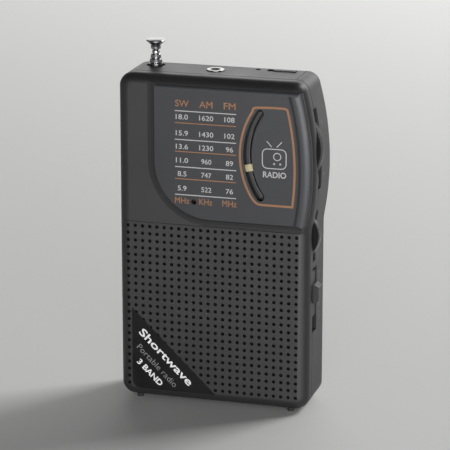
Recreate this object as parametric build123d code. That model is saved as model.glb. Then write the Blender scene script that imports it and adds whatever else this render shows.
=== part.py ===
"""Pocket shortwave receiver, built as separate parts in millimetres.

Working frame: X runs across the front, centred on the case; Y runs from the
plain front face (0) to the back; Z runs up from the bottom of the case.
Every part is moved once, at export, so that the origin sits on the ground
under the middle of the whole receiver.
"""
import os
from math import cos, sin, radians, pi

from build123d import *

# ---- case -----------------------------------------------------------------
WIDTH = 70.0
HEIGHT = 119.5
DEPTH = 23.0
FOOT = 0.9
SEAM = 6.7
WALL = 1.6
FRONT_RADIUS = 4.0
REAR_RADIUS = 1.3
CORNER = 5.0
CORNER_TOP_RIGHT = 4.5
BULGE_X = -70.15
BULGE_Z = 87.48
BULGE_R = 107.16

# ---- dial panel -----------------------------------------------------------
PLATEAU = 0.8
RAMPS = ((0.8, 0.8, 0.42, 0.72), (1.7, 0.40, 0.24, 0.85), (2.78, 0.17, 0.15, 1.04))
PANEL_FRONT = -1.0
PANEL_BACK = -0.15
PANEL_EDGE_BACK = 1.9
PANEL_LEFT = -21.0
PANEL_TOP = 116.4
PANEL_BOTTOM = 68.8
PANEL_SWEEP = 20.2
PANEL_INSET = 0.8
PANEL_STRIP = 4.4
PANEL_ROLL = 3.9
ROLL_GROW = 0.3
RIDGE = 0.25
RIDGE_INNER = 5.9
RIDGE_OUTER = 4.4
PANEL_GAP = 0.08
ARC_X = 39.62
ARC_Z = 93.54
ARC_R = 26.6
ARC_TOP = 146.1
ARC_BOTTOM = 214.5
ARC_WIDTH = 3.0
LED_X = -6.55
LED_Z = 74.95
SEAM_LINE = 0.19
SEAM_DEPTH = 0.4

# ---- speaker grille -------------------------------------------------------
PITCH = 2.7
COLUMNS = 24
ROWS = 23
GRILLE_X = -31.4
GRILLE_Z = 64.4
HOLE_R = 0.64
GRILLE_LEFT = -33.0
GRILLE_RIGHT = 32.4
GRILLE_LOW = 3.0
GRILLE_HIGH = 66.0
GRILLE_THICK = 1.1
LEDGE = 0.75

# ---- tuning drive ---------------------------------------------------------
TUNE_X = 22.1
TUNE_Z = 94.8
TUNE_R = 16.0
TUNE_Y0 = 6.1
TUNE_Y1 = 9.5
TUNE_TEETH = 120
TUNE_BEVEL = 1.2
MODULE = 0.4
PINION_TEETH = 15
SECTOR_TEETH = 27
GEAR_Y0 = 3.2
GEAR_Y1 = 5.2
PIVOT_X = 29.985
PIVOT_Z = 91.906
ARM_Y0 = 0.02
ARM_Y1 = 0.36
ARM_RIDGE = 17.2
ARM_REACH = 20.9
ARM_WIDTH = 2.5
ARM_ANGLE = 191.4
ARM_UP = 62.5
ARM_DOWN = 37.5
POCKET_FLOOR = 1.8
RAIL_TOP = 0.52
RAIL_HALF = 0.95
RAIL_SHIFT = 0.3
UPPER_WALL_BACK = 2.85

# ---- volume, band and power controls --------------------------------------
VOL_X = 28.0
VOL_Z = 63.4
VOL_R = 9.3
VOL_Y0 = 7.1
VOL_Y1 = 9.8
VOL_TEETH = 70
BAND_Y0 = 7.0
BAND_Y1 = 12.1
BAND_Z0 = 33.4
BAND_Z1 = 50.2
BAND_KNOB_Z = 42.2
BAND_KNOB_R = 3.5
POWER_X0 = 17.4
POWER_X1 = 25.0
POWER_Y0 = 17.9
POWER_Y1 = 20.3
POWER_PROUD = 0.35

# ---- slots through the case wall: z low, z high, y front, y back ----------
TUNE_SLOT = (80.8, 109.5, 5.6, 10.0)
VOL_SLOT = (54.1, 72.7, SEAM, 10.1)
BAND_SLOT = (27.7, 51.6, SEAM, 12.4)

# ---- top fittings ---------------------------------------------------------
JACK_X = -3.05
JACK_Y = 14.4
JACK_BORE = 1.8
JACK_RING = 3.2
JACK_SEAT = 0.45
JACK_PROUD = 0.35
LAMP_X = 11.25
LAMP_Y = 19.3
ANT_X = -25.9
ANT_Y = 16.9
ANT_SCREW = (-18.6, 63.8)

# ---- board and fastenings -------------------------------------------------
BOARD_Y0 = 10.8
BOARD_Y1 = 12.0
CASE_SCREWS = [(-31.4, 110.0), (30.6, 112.4), (-31.4, 38.5), (31.5, 6.0)]
BOARD_SCREWS = [(-17.5, 112.0), (-17.5, 72.5), (30.3, 75.8)]
BOSS_R = 2.2
BOSS_END = 12.0
ROD_Y = 16.6
ROD_Z = 76.6
ROD_R = 3.5

# ---- speaker --------------------------------------------------------------
SPK_X = -6.0
SPK_Z = 47.2
SPK_R = 18.0
MAGNET_Y0 = 7.0
MAGNET_Y1 = 11.4

# ---- batteries ------------------------------------------------------------
BAY_X0 = -31.0
BAY_X1 = 26.4
BAY_Y0 = 6.6
BAY_TOP = 33.6
CELL_R = 7.2
CELL_LENGTH = 50.2
CELL_Y = 14.15
CELL_Z = (9.2, 24.1)
DOOR_TOP = 35.0
WIRE_HOLES = (22.6, 25.2)
DOOR_Y0 = 21.7

MIN3 = (Align.MIN, Align.MIN, Align.MIN)
ON_END = (Align.CENTER, Align.CENTER, Align.MIN)


# ---- small helpers --------------------------------------------------------
def box(x0, x1, y0, y1, z0, z1):
    return Pos(x0, y0, z0) * Box(x1 - x0, y1 - y0, z1 - z0, align=MIN3)


def rod_x(y, z, r, x0, x1):
    return Pos(x0, y, z) * Rot(0, 90, 0) * Cylinder(r, x1 - x0, align=ON_END)


def rod_y(x, z, r, y0, y1):
    return Pos(x, y0, z) * Rot(-90, 0, 0) * Cylinder(r, y1 - y0, align=ON_END)


def rod_z(x, y, r, z0, z1):
    return Pos(x, y, z0) * Cylinder(r, z1 - z0, align=ON_END)


def slab(face, y0, y1):
    """A flat x-z face made solid between two depths."""
    return extrude(Plane.XZ.offset(-y0) * face, amount=-(y1 - y0))


def sector(x, z, r, start, end, steps=24):
    """A pie slice in the x-z plane."""
    angles = [start + (end - start) * i / steps for i in range(steps + 1)]
    rim = [(x + r * cos(radians(a)), z + r * sin(radians(a))) for a in angles]
    return make_face(Polyline([(x, z)] + rim, close=True))


def toothed_face(x, z, count, root, tip, root_half, tip_half, first, teeth):
    """Straight-sided teeth on a round body; half widths are angles in degrees."""
    step = 360.0 / count
    points = []
    for i in range(teeth):
        middle = first + i * step
        corners = [(root, -root_half), (tip, -tip_half), (tip, tip_half), (root, root_half)]
        for radius, turn in corners:
            a = radians(middle + turn)
            points.append((x + radius * cos(a), z + radius * sin(a)))
    if teeth < count:
        points.append((x, z))
    return make_face(Polyline(points, close=True))


def at_point(shape, x, y):
    """The corner of a flat face nearest to a point."""
    return [min(shape.vertices(), key=lambda v: (v.X - x) ** 2 + (v.Y - y) ** 2)]


def group(solids):
    """Several like pieces kept as separate solids in one part."""
    return Compound([solid.solid() for solid in solids])


# ---- case shapes ----------------------------------------------------------
def case_outline():
    half = WIDTH / 2
    top_x = BULGE_X + (BULGE_R ** 2 - (HEIGHT - BULGE_Z) ** 2) ** 0.5
    low_z = BULGE_Z - (BULGE_R ** 2 - (half - BULGE_X) ** 2) ** 0.5
    edge = Curve() + [
        Polyline((half, low_z), (half, 0), (-half, 0), (-half, HEIGHT), (top_x, HEIGHT)),
        ThreePointArc((top_x, HEIGHT), (BULGE_X + BULGE_R, BULGE_Z), (half, low_z)),
    ]
    face = make_face(edge)
    face = fillet(at_point(face, half, low_z), 18)
    face = fillet(at_point(face, top_x, HEIGHT), CORNER_TOP_RIGHT)
    for x, z in ((half, 0), (-half, 0), (-half, HEIGHT)):
        face = fillet(at_point(face, x, z), CORNER)
    return face


OUTLINE = case_outline()


def inset(amount):
    return offset(OUTLINE, amount=-amount)


def rounded_block(face, y0, y1, front, rear=0.0):
    block = slab(face, y0, y1)
    block = fillet(block.faces().sort_by(Axis.Y)[0].edges(), front)
    if rear:
        block = fillet(block.faces().sort_by(Axis.Y)[-1].edges(), rear)
    return block


def panel_corner_face(grow=0.0):
    """The panel outline before it is trimmed to the case."""
    left = PANEL_LEFT - grow
    low = PANEL_BOTTOM - grow
    face = make_face(Polyline((left, low), (60, low), (60, 140), (left, 140), close=True))
    return fillet(at_point(face, left, low), PANEL_SWEEP + grow)


def panel_face(grow=0.0):
    top = make_face(Polyline((-60, 0), (60, 0), (60, PANEL_TOP + grow), (-60, PANEL_TOP + grow), close=True))
    face = panel_corner_face(grow) & top
    face = fillet(at_point(face, PANEL_LEFT - grow, PANEL_TOP + grow), 1.2)
    return face & inset(PANEL_INSET - grow)


def plateau():
    """The raised ground of the dial panel; its hollow ramp is cut as three slopes."""
    ground = None
    for grow, height, fall, run in RAMPS:
        step = slab(panel_corner_face(grow), -height, 3)
        rim = step.faces().sort_by(Axis.Y)[0].edges()
        step = chamfer([e for e in rim if e.center().X < 40 and e.center().Z < 120], fall, run)
        ground = step if ground is None else ground + step
    return ground & rounded_block(OUTLINE, -PLATEAU, DEPTH, FRONT_RADIUS + 0.6)


def outer_block():
    return rounded_block(OUTLINE, 0, DEPTH, FRONT_RADIUS, REAR_RADIUS)


def wall_slot(limits):
    low, high, front, back = limits
    return box(30, 42, front, back, low, high)


def scoop(z, depth, chord, y_edge, run):
    """A shallow finger relief in the case edge, deepest at y_edge."""
    half = chord / 2
    r = (half ** 2 + depth ** 2) / (2 * depth)
    edge_x = WIDTH / 2
    if z > 70:
        edge_x = BULGE_X + (BULGE_R ** 2 - (z - BULGE_Z) ** 2) ** 0.5
    cone = Cone(r - depth, r, run, align=ON_END)
    return Pos(edge_x - depth + r, y_edge - run, z) * Rot(-90, 0, 0) * cone


def arm_pocket():
    """The room the pointer arm sweeps behind the panel."""
    start, end = ARM_ANGLE - ARM_UP, ARM_ANGLE + ARM_DOWN
    reach = ARM_REACH + 1.2
    face = sector(PIVOT_X, PIVOT_Z, reach, start - 4, end + 4) + Pos(PIVOT_X, PIVOT_Z) * Circle(2.3)
    for a in (start, end):
        bar = Pos(reach / 2, 0) * Rectangle(reach, ARM_WIDTH + 0.7)
        face += Pos(PIVOT_X, PIVOT_Z) * Rot(0, 0, a) * bar
    return face


def window_face(radius, width, top):
    """A curved slot shape with round ends."""
    arc = CenterArc((ARC_X, ARC_Z), radius, top, ARC_BOTTOM - top)
    return SlotArc(arc, height=width)


def pointer_rail():
    """A round-backed rail that follows the curved window behind the pointer."""
    rail = slab(window_face(ARC_R + RAIL_SHIFT, 2 * RAIL_HALF, ARC_TOP + 0.9), RAIL_TOP, POCKET_FLOOR + 0.1)
    return fillet(rail.faces().sort_by(Axis.Y)[0].edges(), RAIL_HALF / 2)


def seam_groove():
    """The fine line round the case where its two halves meet."""
    band = slab(offset(OUTLINE, amount=1), SEAM - SEAM_LINE, SEAM + SEAM_LINE)
    return band - slab(inset(SEAM_DEPTH), SEAM - 1, SEAM + 1)


# ---- case parts -----------------------------------------------------------
OUTER = outer_block()


def front_cabinet():
    shell = OUTER & box(-60, 60, -5, SEAM, -5, 140)
    shell += plateau() & box(-60, 60, -5, SEAM, -5, 140)
    shell -= slab(inset(WALL), 5.4, DEPTH)
    lower = slab(inset(WALL + 1.3), WALL, 6)
    lower &= box(-60, 60, 0, 6, 0, 67.0)
    upper = slab(inset(WALL + 1.3), UPPER_WALL_BACK, 6)
    shell -= lower
    shell -= upper
    shell -= slab(panel_face(PANEL_GAP), -3, PANEL_BACK)
    edge_strip = panel_face(PANEL_GAP) - inset(PANEL_STRIP + PANEL_GAP)
    shell -= slab(edge_strip, -3, PANEL_EDGE_BACK)
    shell -= box(GRILLE_LEFT, GRILLE_RIGHT, -3, GRILLE_THICK, GRILLE_LOW, GRILLE_HIGH)
    shell -= box(GRILLE_LEFT + LEDGE, GRILLE_RIGHT - LEDGE, -3, 3, GRILLE_LOW + LEDGE, GRILLE_HIGH - LEDGE)
    shell -= slab(arm_pocket(), -1, POCKET_FLOOR)
    shell += pointer_rail()
    shell -= rod_y(PIVOT_X, PIVOT_Z, 1.06, -1, 6)
    shell -= rod_y(LED_X, LED_Z, 0.95, -3, 6)
    room = slab(inset(WALL + 0.15), SEAM - 0.1, 30) + slab(OUTLINE, 0, SEAM)
    for x, z in CASE_SCREWS:
        shell += rod_y(x, z, BOSS_R, GRILLE_THICK + 0.9, BOSS_END) & room
    for x, z in BOARD_SCREWS:
        shell += rod_y(x, z, 1.8, UPPER_WALL_BACK - 0.5, BOARD_Y0)
    for x, z in CASE_SCREWS:
        shell -= rod_y(x, z, 1.05, 4.0, BOSS_END + 1)
    for x, z in BOARD_SCREWS:
        shell -= rod_y(x, z, 0.8, 4.8, BOARD_Y0 + 1)
    shell -= wall_slot(TUNE_SLOT)
    shell -= scoop(94.9, 1.3, 16.5, TUNE_SLOT[2] + 0.01, 2.6)
    shell -= scoop(63.5, 0.8, 11.0, SEAM + 0.01, 2.2)
    shell -= scoop(BAND_KNOB_Z, 0.6, 7.4, SEAM + 0.01, 1.8)
    return shell - seam_groove()


def speaker_grille():
    gap = 0.04
    plate = box(GRILLE_LEFT + gap, GRILLE_RIGHT - gap, -1, GRILLE_THICK, GRILLE_LOW + gap, GRILLE_HIGH - 0.14)
    plate &= OUTER
    spots = []
    for row in range(ROWS):
        for column in range(COLUMNS):
            spots.append(Pos(GRILLE_X + column * PITCH, GRILLE_Z - row * PITCH))
    holes = slab(Sketch() + [spot * Circle(HOLE_R) for spot in spots], -1, 3)
    return plate - holes


def dust_screen():
    """Thin black paper behind the holes."""
    edge = LEDGE + 0.1
    y = GRILLE_THICK + 0.02
    return box(GRILLE_LEFT + edge, GRILLE_RIGHT - edge, y, y + 0.18, GRILLE_LOW + edge, GRILLE_HIGH - edge)


def dial_panel():
    block = rounded_block(inset(-ROLL_GROW), PANEL_FRONT - RIDGE, 6, PANEL_ROLL)
    panel = block & slab(panel_face(), -3, PANEL_EDGE_BACK)
    panel -= slab(inset(PANEL_STRIP), PANEL_BACK, 4)
    inner = BULGE_R - RIDGE_INNER
    outer = BULGE_R - RIDGE_OUTER
    rise = [(0.0, 0.0), (0.2, 0.08), (0.4, 0.3), (0.6, 0.7), (0.8, 0.92), (1.0, 1.0)]
    foot = [(inner + (outer - inner) * t, PANEL_FRONT - RIDGE * h) for t, h in rise]
    field = Plane.XY * make_face(Polyline([(0, -3), (0, PANEL_FRONT)] + foot + [(outer, -3)], close=True))
    panel -= Pos(BULGE_X, 0, BULGE_Z) * revolve(field, Axis.Y)
    top = [(-3, -1.3), (PANEL_FRONT, -1.3), (PANEL_FRONT + 0.07, -0.8), (PANEL_FRONT + 0.22, -0.35)]
    edge = make_face(Polyline(top + [(PANEL_FRONT + 0.45, 0.01), (-3, 0.01)], close=True))
    panel -= Pos(-40, 0, PANEL_TOP) * extrude(Plane.YZ * edge, amount=90)
    panel -= slab(window_face(ARC_R, ARC_WIDTH, ARC_TOP), -3, 3)
    panel -= rod_y(LED_X, LED_Z, 0.95, -3, 6)
    return panel


def rear_cabinet():
    shell = OUTER & box(-60, 60, SEAM, DEPTH + 1, -5, 140)
    shell -= slab(inset(WALL), SEAM - 1, DEPTH - WALL)
    tray = box(BAY_X0 - 1.2, BAY_X1 + 1.2, BAY_Y0 - 1.2, DEPTH - WALL, 0.4, BAY_TOP + 1.2)
    shell += tray & (slab(inset(WALL + 0.2), 0, SEAM) + slab(inset(0.3), SEAM, DEPTH - 0.5))
    shell -= box(BAY_X0, BAY_X1, BAY_Y0, DEPTH + 2, WALL, BAY_TOP)
    shell -= box(BAY_X0 - 1.3, BAY_X1 + 1.3, DEPTH - WALL, DEPTH + 2, -1, DOOR_TOP + 0.3)
    shell -= box(BAY_X0 - 1.9, BAY_X1 + 1.9, DEPTH - WALL - 0.05, DEPTH - 0.5, -1, DOOR_TOP - 3)
    for x in WIRE_HOLES:
        shell -= rod_z(x, 7.4, 0.7, BAY_TOP - 1, BAY_TOP + 3)
    for x, z in CASE_SCREWS:
        shell += rod_y(x, z, BOSS_R, BOSS_END + 0.3, DEPTH - WALL + 0.5)
    for x, z in CASE_SCREWS:
        shell -= rod_y(x, z, 1.3, BOSS_END, DEPTH + 1)
        shell -= rod_y(x, z, 1.9, DEPTH - 3.0, DEPTH + 1)
    for limits in (TUNE_SLOT, VOL_SLOT, BAND_SLOT):
        shell -= wall_slot(limits)
    shell -= rod_z(ANT_X, ANT_Y, 2.75, HEIGHT - 3, HEIGHT + 1)
    shell -= rod_z(ANT_X, ANT_Y, 3.4, HEIGHT - 0.8, HEIGHT + 1)
    shell -= rod_z(JACK_X, JACK_Y, 2.6, HEIGHT - 3, HEIGHT + 1)
    shell -= rod_z(JACK_X, JACK_Y, JACK_RING + 0.2, HEIGHT - JACK_SEAT, HEIGHT + 1)
    shell -= box(28.15, 28.35, SEAM, DEPTH - REAR_RADIUS, HEIGHT - 0.2, HEIGHT + 1)
    shell -= rod_z(LAMP_X, LAMP_Y, 1.0, HEIGHT - 3, HEIGHT + 1)
    shell -= box(POWER_X0 - 2.7, POWER_X1 + 0.3, POWER_Y0 - 0.3, POWER_Y1 + 0.3, HEIGHT - 3, HEIGHT + 1)
    return shell - seam_groove()


def battery_door():
    plate = OUTER & box(BAY_X0 - 1, BAY_X1 + 1, DOOR_Y0, DEPTH + 1, -1, DOOR_TOP)
    for x0, x1 in ((BAY_X0 - 1.6, BAY_X0 - 0.9), (BAY_X1 + 0.9, BAY_X1 + 1.6)):
        plate += box(x0, x1, DOOR_Y0, DOOR_Y0 + 0.5, 3, DOOR_TOP - 4)
    for i in range(5):
        z = 25.5 + i * 1.6
        plate -= box(-9, 4.4, DEPTH - 0.35, DEPTH + 1, z, z + 0.8)
    return plate


def feet():
    pads = [rod_z(x, y, 1.1, -FOOT, 0.35) for x in (-28.3, 28.3) for y in (3.2, 19.2)]
    return group([pad - OUTER for pad in pads])


def case_screws():
    made = []
    for x, z in CASE_SCREWS:
        screw = rod_y(x, z, 1.75, DEPTH - 3.0, DEPTH - 1.6) + rod_y(x, z, 1.0, 5.5, DEPTH - 3.0)
        for turn in (0, 90):
            slot = Pos(x, DEPTH - 1.9, z) * Rot(0, turn, 0) * Box(2.0, 0.7, 0.45)
            screw -= slot
        made.append(screw)
    return group(made)


def corner_label():
    face = make_face(Polyline((-30.2, 33.6), (-30.2, 3.3), (0.9, 3.3), close=True))
    face = fillet(at_point(face, -30.2, 3.3), 3.0)
    return slab(face, -0.14, 0)


# ---- tuning drive ---------------------------------------------------------
def knurled_face(x, z, radius, count, depth):
    half = 90.0 / count
    return toothed_face(x, z, count, radius - depth, radius, half * 1.1, half * 0.7, 0, count)


def knurled_disc(x, z, radius, count, depth, y0, y1):
    return slab(knurled_face(x, z, radius, count, depth), y0, y1)


def knurled_bevel(x, z, radius, count, depth, bevel, y0):
    """The toothed front edge of a wheel, drawn in towards the front."""
    front = Plane.XZ.offset(-y0) * knurled_face(x, z, radius - bevel * 1.25, count, depth)
    back = Plane.XZ.offset(-y0 - bevel) * knurled_face(x, z, radius, count, depth)
    return loft([front, back], ruled=True)


def pinion_face():
    """Small gear on the tuning wheel, one gap facing the pointer gear at rest."""
    facing = -20.15
    step = 360.0 / PINION_TEETH
    return toothed_face(TUNE_X, TUNE_Z, PINION_TEETH, 2.5, 3.32, 5.6, 1.9, facing + step / 2, PINION_TEETH)


def tuning_wheel():
    wheel = knurled_disc(TUNE_X, TUNE_Z, TUNE_R, TUNE_TEETH, 0.42, TUNE_Y0 + TUNE_BEVEL, TUNE_Y1)
    wheel += knurled_bevel(TUNE_X, TUNE_Z, TUNE_R, TUNE_TEETH, 0.42, TUNE_BEVEL, TUNE_Y0)
    ring = rod_y(TUNE_X, TUNE_Z, TUNE_R - 2.6, TUNE_Y0 - 1, TUNE_Y0 + 0.5)
    wheel -= ring - rod_y(TUNE_X, TUNE_Z, 5.0, TUNE_Y0 - 2, TUNE_Y1)
    web = rod_y(TUNE_X, TUNE_Z, TUNE_R - 2.2, TUNE_Y0 + 2.0, TUNE_Y1 + 1)
    wheel -= web - rod_y(TUNE_X, TUNE_Z, 5.0, TUNE_Y0, TUNE_Y1 + 2)
    wheel += slab(pinion_face(), GEAR_Y0, TUNE_Y0 + 0.2)
    wheel -= rod_y(TUNE_X, TUNE_Z, 1.95, GEAR_Y0 - 1, GEAR_Y0 + 1.3)
    wheel -= rod_y(TUNE_X, TUNE_Z, 1.3, GEAR_Y0, TUNE_Y1 + 1)
    wheel -= rod_y(TUNE_X, TUNE_Z, 3.02, TUNE_Y0 + 1.0, TUNE_Y1 + 1)
    return wheel


def tuning_shaft():
    shaft = rod_y(TUNE_X, TUNE_Z, 3.0, TUNE_Y0 + 1.0, 15.0)
    return shaft - rod_y(TUNE_X, TUNE_Z, 1.05, TUNE_Y0, 12.0)


def wheel_screw(x, z, head, y0, y1, y2):
    screw = rod_y(x, z, head, y0, y1) + rod_y(x, z, 1.0, y1, y2)
    return screw - box(x - head - 1, x + head + 1, y0 - 1, y0 + 0.35, z - 0.2, z + 0.2)


def tuning_capacitor():
    case = box(TUNE_X - 10, TUNE_X + 10, BOARD_Y1, BOARD_Y1 + 8, TUNE_Z - 10, TUNE_Z + 10)
    case = fillet(case.edges().filter_by(Axis.Y), 1.0)
    return case - rod_y(TUNE_X, TUNE_Z, 3.07, BOARD_Y1 - 1, 15.1)


def pointer_arm():
    """Pointer seen through the curved window, level at its own angle."""
    a = ARM_ANGLE
    side = [
        (0, ARM_Y1), (0, ARM_Y0 + 0.14), (ARM_RIDGE - 1.7, ARM_Y0 + 0.14), (ARM_RIDGE, ARM_Y0),
        (ARM_RIDGE + 1.3, ARM_Y0 + 0.18), (ARM_REACH, ARM_Y0 + 0.18), (ARM_REACH, ARM_Y1)]
    bar = extrude(make_face(Polyline(side, close=True)), amount=ARM_WIDTH / 2, both=True)
    bar = Pos(PIVOT_X, 0, PIVOT_Z) * Rot(0, -a, 0) * bar
    return bar + rod_y(PIVOT_X, PIVOT_Z, 1.9, ARM_Y0 + 0.14, ARM_Y1)


def pointer_gear():
    step = 360.0 / SECTOR_TEETH
    toward = 159.85
    first = toward - 3 * step
    face = toothed_face(PIVOT_X, PIVOT_Z, SECTOR_TEETH, 4.9, 5.72, 3.3, 1.15, first, 9)
    gear = slab(face, GEAR_Y0, GEAR_Y1)
    gear += rod_y(PIVOT_X, PIVOT_Z, 1.9, GEAR_Y0, GEAR_Y1)
    return gear + rod_y(PIVOT_X, PIVOT_Z, 1.0, ARM_Y1, GEAR_Y0)


def volume_wheel():
    wheel = knurled_disc(VOL_X, VOL_Z, VOL_R, VOL_TEETH, 0.3, VOL_Y0, VOL_Y1)
    wheel -= rod_y(VOL_X, VOL_Z, VOL_R - 1.3, VOL_Y0 - 1, VOL_Y0 + 0.4) - rod_y(VOL_X, VOL_Z, 3.4, 0, VOL_Y1)
    wheel -= rod_y(VOL_X, VOL_Z, 1.25, VOL_Y0 - 1, VOL_Y1)
    return wheel - rod_y(VOL_X, VOL_Z, 2.02, VOL_Y0 + 1.0, VOL_Y1 + 1)


def volume_shaft():
    shaft = rod_y(VOL_X, VOL_Z, 2.0, VOL_Y0 + 1.0, 14.4)
    return shaft - rod_y(VOL_X, VOL_Z, 1.05, VOL_Y0, 12.5)


def volume_potentiometer():
    case = box(VOL_X - 4.8, VOL_X + 4.8, BOARD_Y1, BOARD_Y1 + 4, VOL_Z - 5.4, VOL_Z + 5.4)
    case = fillet(case.edges().filter_by(Axis.Y), 1.5)
    return case - rod_y(VOL_X, VOL_Z, 2.07, BOARD_Y1 - 1, 14.5)


# ---- slide controls -------------------------------------------------------
def band_slider():
    plate = box(33.1, 34.6, BAND_Y0, BAND_Y1, BAND_Z0, BAND_Z1)
    knob = rod_y(34.6, BAND_KNOB_Z, BAND_KNOB_R, BAND_Y0, BAND_Y1 - 0.3)
    knob &= box(34.5, 34.6 + 2.5, 0, 20, 30, 55)
    for i in range(7):
        a = radians(-54 + 18 * i)
        x = 34.6 + BAND_KNOB_R * cos(a)
        z = BAND_KNOB_Z + BAND_KNOB_R * sin(a)
        knob -= rod_y(x, z, 0.28, BAND_Y0 + 0.7, BAND_Y1)
    tongue = box(31.4, 33.2, 8.3, 9.5, 40.7, 43.7)
    return plate + knob + tongue


def band_switch_body():
    body = box(28.0, 32.8, BAND_Y0, BOARD_Y0, 27.2, 52.4)
    return body - box(31.0, 34, 7.9, 9.9, 35.0, 44.3)


def power_slider():
    knob = box(POWER_X0, POWER_X1, POWER_Y0, POWER_Y1, HEIGHT - 1.9, HEIGHT + POWER_PROUD)
    for i in range(7):
        x = POWER_X0 + 1.0 + 0.95 * i
        knob -= box(x - 0.2, x + 0.2, POWER_Y0 - 1, POWER_Y1 + 1, HEIGHT + POWER_PROUD - 0.3, HEIGHT + 2)
    return knob + box(19.8, 22.6, 18.5, 19.7, HEIGHT - 4.2, HEIGHT - 1.8)


def power_switch_body():
    body = box(13.2, 27.2, BOARD_Y1, 21.1, 111.0, HEIGHT - 2.2)
    return body - box(17.1, 22.9, 18.2, 20.0, HEIGHT - 4.6, HEIGHT)


def headphone_jack():
    body = box(JACK_X - 3.4, JACK_X + 3.4, BOARD_Y0 + 0.3, 17.7, 105.0, HEIGHT - WALL)
    body += rod_z(JACK_X, JACK_Y, 2.5, 110, HEIGHT - JACK_SEAT)
    return body - rod_z(JACK_X, JACK_Y, JACK_BORE, 107.0, HEIGHT + 1)


def jack_ring():
    ring = rod_z(JACK_X, JACK_Y, JACK_RING, HEIGHT - JACK_SEAT, HEIGHT + JACK_PROUD)
    ring = fillet(ring.edges().sort_by(Axis.Z)[-1:], 0.25)
    return ring - rod_z(JACK_X, JACK_Y, JACK_BORE, HEIGHT - 1, HEIGHT + 1)


def power_lamp():
    lamp = rod_z(LAMP_X, LAMP_Y, 0.93, 113.0, HEIGHT - 0.7) + rod_z(LAMP_X, LAMP_Y, 1.15, 113.0, HEIGHT - 2.0)
    for x in (LAMP_X - 0.6, LAMP_X + 0.6):
        lamp += rod_z(x, LAMP_Y, 0.2, 110.2, 113.2)
        lamp += rod_y(x, 110.3, 0.2, BOARD_Y1, LAMP_Y)
    return lamp


def tuning_lamp():
    lamp = rod_y(LED_X, LED_Z, 1.5, UPPER_WALL_BACK + 0.3, 6.6)
    lamp += rod_y(LED_X, LED_Z, 0.85, 2.2, UPPER_WALL_BACK + 0.4)
    for x in (LED_X - 0.7, LED_X + 0.7):
        lamp += rod_y(x, LED_Z, 0.25, 6.5, BOARD_Y0)
    return lamp


# ---- circuit board --------------------------------------------------------
def circuit_board():
    face = make_face(Polyline(
        (-21, 60), (15, 60), (15, 37.5), (28.0, 37.5), (28.0, 26.0), (32.7, 26.0),
        (32.7, 96), (31.2, 115), (-21, 115), close=True))
    board = slab(face, BOARD_Y0, BOARD_Y1)
    board -= rod_y(30.6, 112.4, 2.9, 0, 20)
    board -= box(JACK_X - 3.7, JACK_X + 3.7, 0, 20, 104.6, 120)
    board -= rod_y(TUNE_X, TUNE_Z, 3.6, 0, 20)
    board -= rod_y(VOL_X, VOL_Z, 2.6, 0, 20)
    for x, z in BOARD_SCREWS + [ANT_SCREW]:
        board -= rod_y(x, z, 1.15, 0, 20)
    return board


def board_screws():
    made = []
    for x, z in BOARD_SCREWS:
        screw = rod_y(x, z, 1.7, BOARD_Y1, BOARD_Y1 + 1.2) + rod_y(x, z, 0.75, 5.5, BOARD_Y1)
        made.append(screw - box(x - 2, x + 2, BOARD_Y1 + 0.7, BOARD_Y1 + 2, z - 0.2, z + 0.2))
    return group(made)


def ferrite_rod():
    return rod_x(ROD_Y, ROD_Z, ROD_R, -20, 24)


def ferrite_coil():
    return rod_x(ROD_Y, ROD_Z, ROD_R + 0.6, -9, 5) - rod_x(ROD_Y, ROD_Z, ROD_R + 0.03, -10, 6)


def ferrite_holders():
    made = []
    for x in (-14.6, 18.5):
        arm = box(x, x + 2.6, BOARD_Y1, ROD_Y + 0.8, ROD_Z - 5, ROD_Z + 5)
        made.append(arm - rod_x(ROD_Y, ROD_Z, ROD_R + 0.03, x - 1, x + 4))
    return group(made)


def if_transformers():
    made = []
    for x in (-16.0, -7.0, 2.0):
        can = box(x - 3.5, x + 3.5, BOARD_Y1, 20.4, 84.0, 91.0)
        can = fillet(can.edges().filter_by(Axis.Y), 0.6)
        made.append(can - rod_y(x, 87.5, 1.6, 19.8, 21))
    return group(made)


def capacitors():
    made = []
    for x, z, r, tall in ((-16.5, 98.5, 2.5, 7.0), (8.0, 99.0, 3.1, 8.5), (6.5, 108.3, 2.0, 5.5), (16.0, 66.0, 3.1, 8.5)):
        can = rod_y(x, z, r, BOARD_Y1, BOARD_Y1 + tall)
        made.append(chamfer(can.edges().sort_by(Axis.Y)[-1:], 0.3))
    return group(made)


def radio_chip():
    chip = box(-11.0, 1.5, BOARD_Y1 + 0.6, BOARD_Y1 + 3.2, 95.2, 100.6)
    for i in range(8):
        x = -10.2 + i * 1.56
        chip += box(x - 0.22, x + 0.22, BOARD_Y1, BOARD_Y1 + 1.6, 94.6, 95.3)
        chip += box(x - 0.22, x + 0.22, BOARD_Y1, BOARD_Y1 + 1.6, 100.5, 101.2)
    return chip


# ---- speaker --------------------------------------------------------------
def speaker_frame():
    rim = rod_y(SPK_X, SPK_Z, SPK_R, 1.9, 3.1) - rod_y(SPK_X, SPK_Z, SPK_R - 2.6, 1, 2.5)
    profile = [(15.6, 2.5), (16.4, 3.1), (9.5, MAGNET_Y0), (0, MAGNET_Y0), (0, 6.3), (8.9, 6.3)]
    cup = revolve(Plane.XY * make_face(Polyline(profile, close=True)), Axis.Y)
    frame = rim - rod_y(SPK_X, SPK_Z, 15.7, 1, 4) + Pos(SPK_X, 0, SPK_Z) * cup
    return frame - rod_y(SPK_X, SPK_Z, 5.2, 6, 8)


def speaker_magnet():
    return rod_y(SPK_X, SPK_Z, 9.5, MAGNET_Y0, MAGNET_Y1)


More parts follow.
